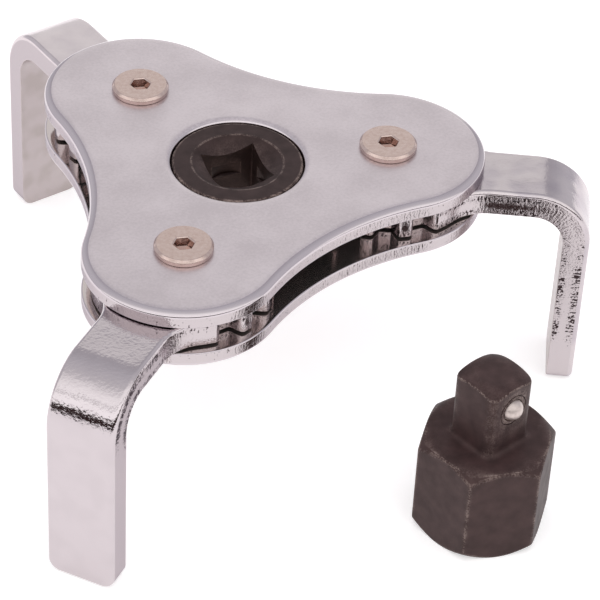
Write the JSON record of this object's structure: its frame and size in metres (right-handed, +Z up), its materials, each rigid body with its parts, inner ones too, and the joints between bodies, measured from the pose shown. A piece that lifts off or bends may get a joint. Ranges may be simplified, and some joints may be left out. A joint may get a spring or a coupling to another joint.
{
  "type": "oil filter wrench",
  "caption": "Geared two-way jaw wrench for oil filters: bent chromed arms swing together between lobed plates when the square drive turns; a hexagonal drive adapter stands beside it.",
  "frame": {"origin": "centre of the whole set's footprint, on the floor under the leg tips", "axes": "+Z up along the drive axis, away from the legs; +X from the drive axis towards the first pivot, whose arm stands clear of the adapter; +Y completes a right-handed frame"},
  "size_m": [0.1006, 0.1146, 0.0447],
  "materials": {
    "satin_plate": "satin nickel-plated steel with a fine grain",
    "chrome": "bright chrome plate over sheared steel bar",
    "nickel": "warm nickel-plated screws and nuts",
    "plain_steel": "plain turned steel",
    "ball_steel": "polished bearing ball",
    "black_oxide": "black oxide steel, edges worn lighter"
  },
  "bodies": {
    "plates": {"top_plate": "satin_plate", "bottom_plate": "satin_plate", "pivot_screw_1": "nickel", "pivot_screw_2": "nickel", "pivot_screw_3": "nickel", "pivot_sleeve_1": "plain_steel", "pivot_sleeve_2": "plain_steel", "pivot_sleeve_3": "plain_steel", "thrust_washer_1": "plain_steel", "thrust_washer_2": "plain_steel", "thrust_washer_3": "plain_steel", "pivot_nut_1": "nickel", "pivot_nut_2": "nickel", "pivot_nut_3": "nickel"},
    "drive": {"drive_gear": "black_oxide"},
    "arm_1": {"arm_1": "chrome"},
    "arm_2": {"arm_2": "chrome"},
    "arm_3": {"arm_3": "chrome"},
    "adapter": {"adapter_body": "black_oxide", "detent_spring": "plain_steel"},
    "detent": {"detent_ball": "ball_steel"}
  },
  "joints": [
    {"name": "drive_turn", "type": "hinge", "parent": "plates", "child": "drive", "pos_m": [-0.01153, -0.00025, 0.038], "axis": [0, 0, 1], "range_deg": [-134, 108]},
    {"name": "arm_swing_1", "type": "hinge", "parent": "plates", "child": "arm_1", "pos_m": [0.01447, -0.00025, 0.038], "axis": [0, 0, 1], "range_deg": [-93, 115]},
    {"name": "arm_swing_2", "type": "hinge", "parent": "plates", "child": "arm_2", "pos_m": [-0.02453, 0.02227, 0.038], "axis": [0, 0, 1], "range_deg": [-93, 115]},
    {"name": "arm_swing_3", "type": "hinge", "parent": "plates", "child": "arm_3", "pos_m": [-0.02453, -0.02277, 0.038], "axis": [0, 0, 1], "range_deg": [-93, 115]},
    {"name": "adapter_lift", "type": "slide", "parent": "plates", "child": "adapter", "axis": [0, 0, 1], "range_m": [0, 0.06]},
    {"name": "detent_press", "type": "slide", "parent": "adapter", "child": "detent", "axis": [-0.5, 0.866, 0], "range_m": [0, 0.00145], "stiffness_N_per_m": 1500, "springref_m": -0.0006, "deforming": ["detent_spring"]}
  ],
  "couplings": [
    {"joint": "arm_swing_1", "follows": "drive_turn", "ratio": -0.85714},
    {"joint": "arm_swing_2", "follows": "drive_turn", "ratio": -0.85714},
    {"joint": "arm_swing_3", "follows": "drive_turn", "ratio": -0.85714}
  ]
}
